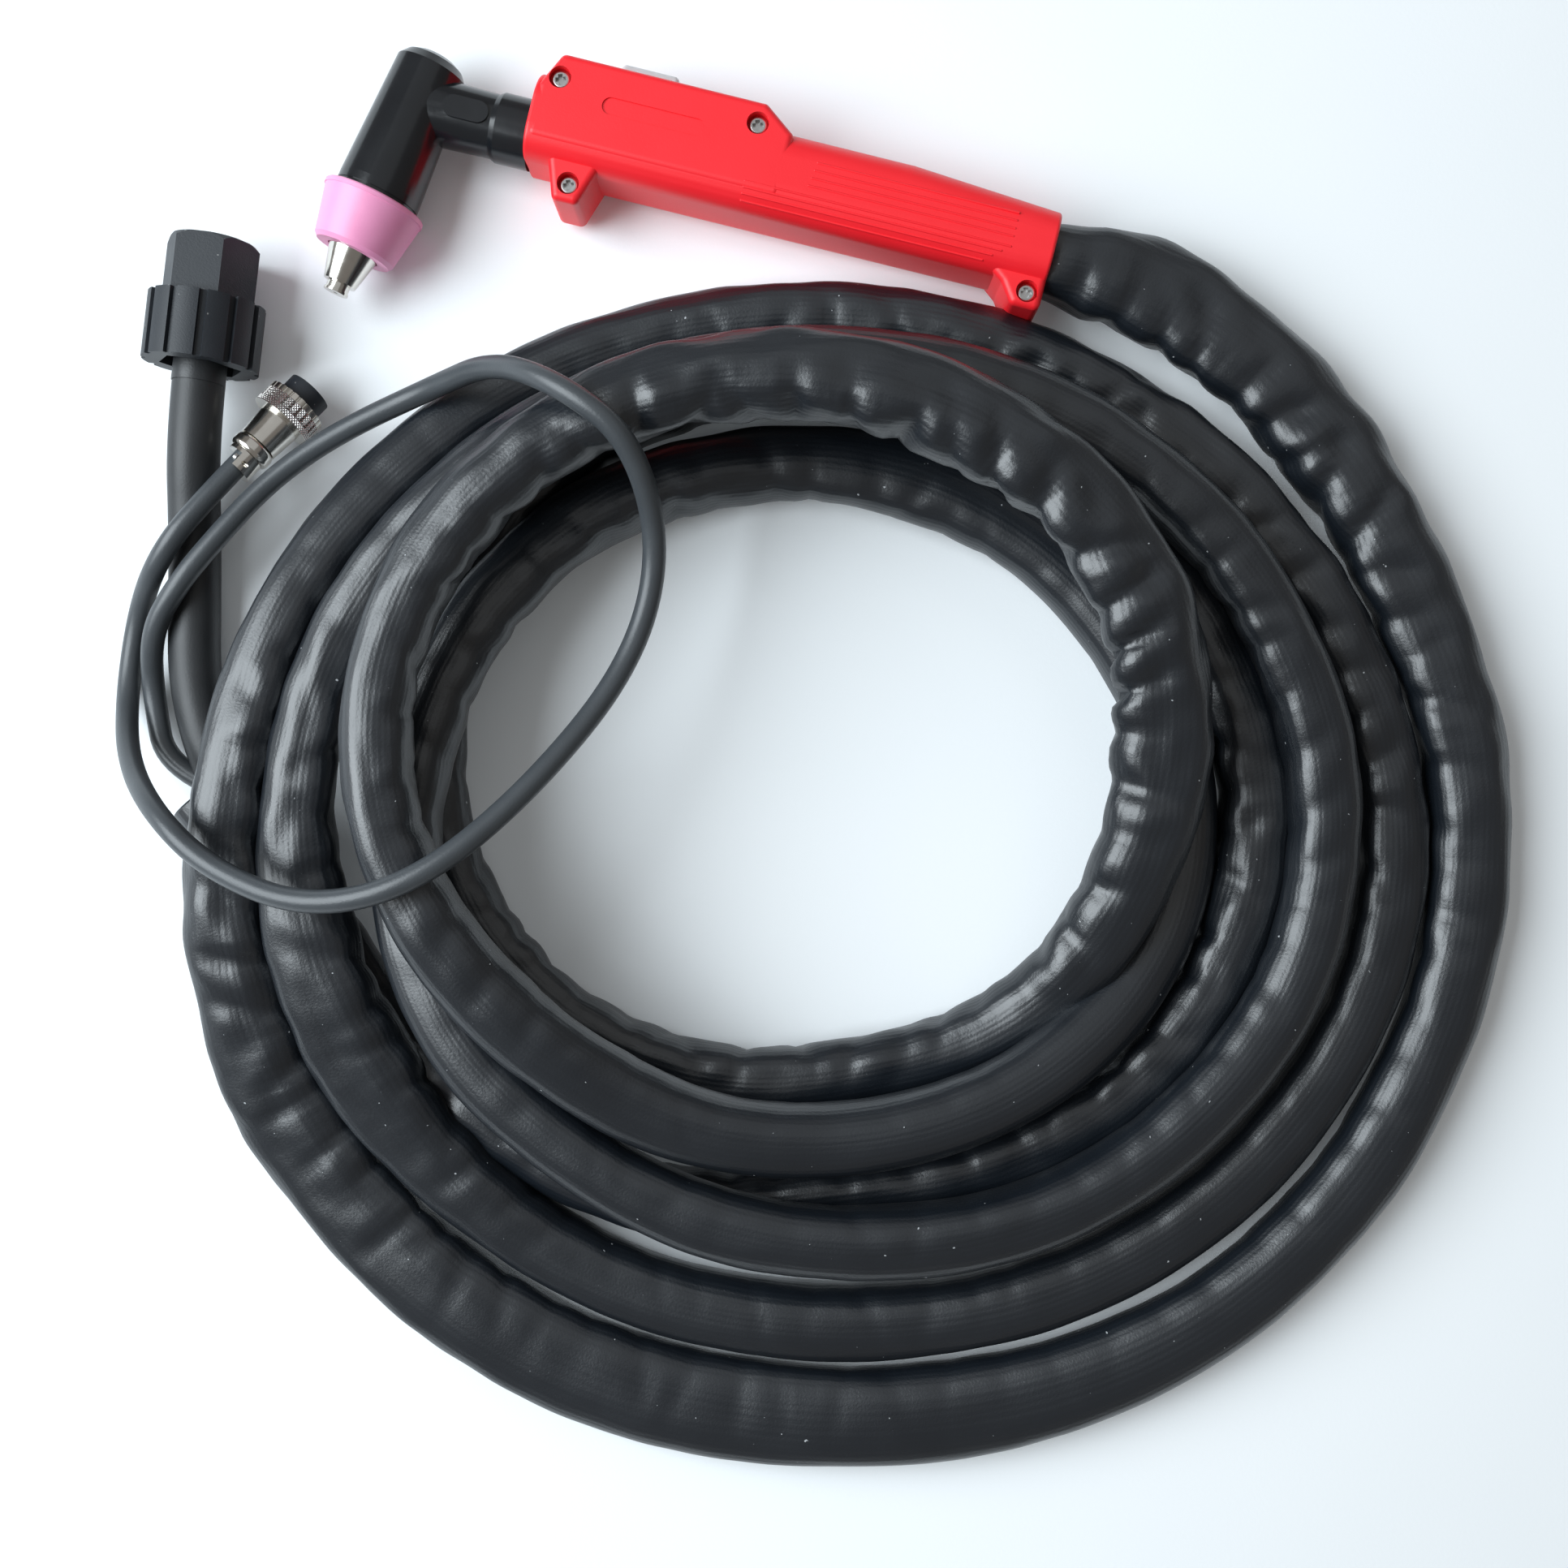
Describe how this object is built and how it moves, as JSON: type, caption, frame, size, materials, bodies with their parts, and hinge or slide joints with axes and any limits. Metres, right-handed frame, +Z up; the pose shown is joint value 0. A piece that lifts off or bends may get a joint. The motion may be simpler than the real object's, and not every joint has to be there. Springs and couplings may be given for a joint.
{
  "type": "hand-held air plasma cutting torch",
  "caption": "Hand-held cutting torch: two-shell handle with trigger, angled head with ceramic cup, coiled sheathed cable, hose connector and switch plug.",
  "frame": {"origin": "on the handle's flat underside, under the neck axis, between the front and rear screws", "axes": "+X along the handle towards its cable end, +Y towards the side of the trigger, +Z up off the table"},
  "size_m": [0.4321, 0.3849, 0.0745],
  "materials": {
    "red_plastic": "satin",
    "black_moulding": "gloss",
    "black_plastic": "satin",
    "pink_ceramic": "satin ceramic",
    "clear_button": "milky translucent",
    "sheath_vinyl": "satin vinyl",
    "hose_rubber": "matt",
    "wire_cover": "satin",
    "steel": "plated",
    "nickel": "bright nickel",
    "brass": "machined",
    "copper": "machined copper"
  },
  "bodies": {
    "torch": {"handle_top_shell": "red_plastic", "handle_bottom_shell": "red_plastic", "handle_screws": "steel", "torch_head": "black_moulding", "neck_collar": "black_moulding", "cathode_body": "brass", "gas_tube": "copper", "contact_ring": "brass", "swirl_ring": "pink_ceramic", "electrode": "copper", "nozzle": "nickel", "pilot_wire": "wire_cover", "hose_nipple": "brass", "inner_hose": "hose_rubber", "hose_ferrule": "steel", "hose_clamp": "steel", "trigger_spring": "steel", "switch_body": "black_plastic", "switch_terminals": "nickel", "switch_wires": "wire_cover", "sheath_stretch": "sheath_vinyl", "sheath_coil": "sheath_vinyl", "sheath_end": "sheath_vinyl", "gas_hose": "hose_rubber", "trigger_lead": "hose_rubber", "hose_stem": "brass", "stem_ferrule": "steel", "plug_clamp": "nickel", "plug_clamp_screws": "steel", "plug_rear_ring": "nickel", "plug_shell": "nickel", "plug_insert": "black_plastic", "plug_pins": "brass"},
    "trigger": {"trigger_button": "clear_button"},
    "plunger": {"switch_plunger": "clear_button"},
    "cup": {"shield_cup": "pink_ceramic", "cup_insert": "brass"},
    "nut": {"hand_nut": "black_plastic", "union_nut": "brass"},
    "coupling": {"plug_coupling_ring": "nickel"}
  },
  "joints": [
    {"name": "trigger_press", "type": "slide", "parent": "torch", "child": "trigger", "axis": [0, -1, 0], "range_m": [0, 0.002], "stiffness_N_per_m": 600, "springref_m": -0.004, "deforming": ["trigger_spring"]},
    {"name": "plunger_push", "type": "slide", "parent": "torch", "child": "plunger", "axis": [0, -1, 0], "range_m": [0, 0.002]},
    {"name": "cup_turn", "type": "hinge", "parent": "torch", "child": "cup", "pos_m": [-0.11804, -0.03451, 0.015], "axis": [-0.1668, -0.986, 0], "continuous": true},
    {"name": "nut_turn", "type": "hinge", "parent": "torch", "child": "nut", "pos_m": [-0.15709, -0.07135, 0.0165], "axis": [-0.1271, 0.9919, 0], "continuous": true},
    {"name": "coupling_turn", "type": "hinge", "parent": "torch", "child": "coupling", "pos_m": [-0.12784, -0.09557, 0.01208], "axis": [0.4111, 0.8736, -0.2605], "continuous": true}
  ],
  "couplings": [
    {"joint": "plunger_push", "follows": "trigger_press", "ratio": 1}
  ]
}
